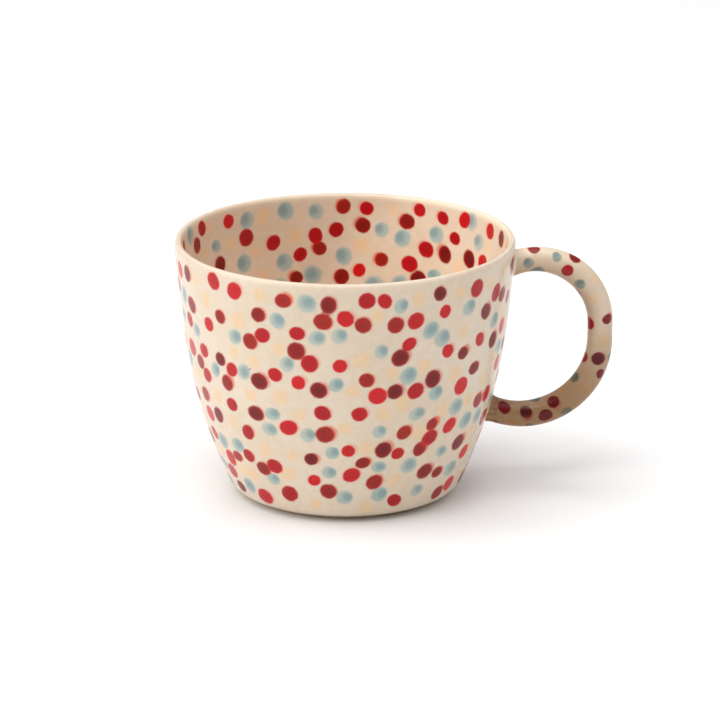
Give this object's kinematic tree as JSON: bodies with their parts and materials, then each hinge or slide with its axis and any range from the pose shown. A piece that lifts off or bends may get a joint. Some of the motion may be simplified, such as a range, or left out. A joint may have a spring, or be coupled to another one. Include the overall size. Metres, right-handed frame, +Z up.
{
  "type": "mug",
  "caption": "Wide stoneware mug with tapering sides, a small foot ring and a round loop handle, in cream glaze with spots of red, maroon and blue-grey.",
  "frame": {"origin": "centre of the foot ring on the surface the mug stands on", "axes": "+Z up along the cup's axis, +X towards the handle"},
  "size_m": [0.135, 0.104, 0.08],
  "materials": {
    "clay": "fired stoneware body, under the glaze",
    "bare_clay": "bare fired stoneware, wiped free of glaze",
    "slip": "clay slip brushed round the joint and glazed over",
    "glaze": "glossy cream glaze over painted spots"
  },
  "bodies": {
    "root": {"cup_body": "clay", "foot_ring": "bare_clay", "handle": "clay", "upper_joint": "slip", "lower_joint": "slip", "outer_glaze": "glaze", "inner_glaze": "glaze", "handle_glaze": "glaze", "base_glaze": "glaze"}
  },
  "joints": []
}
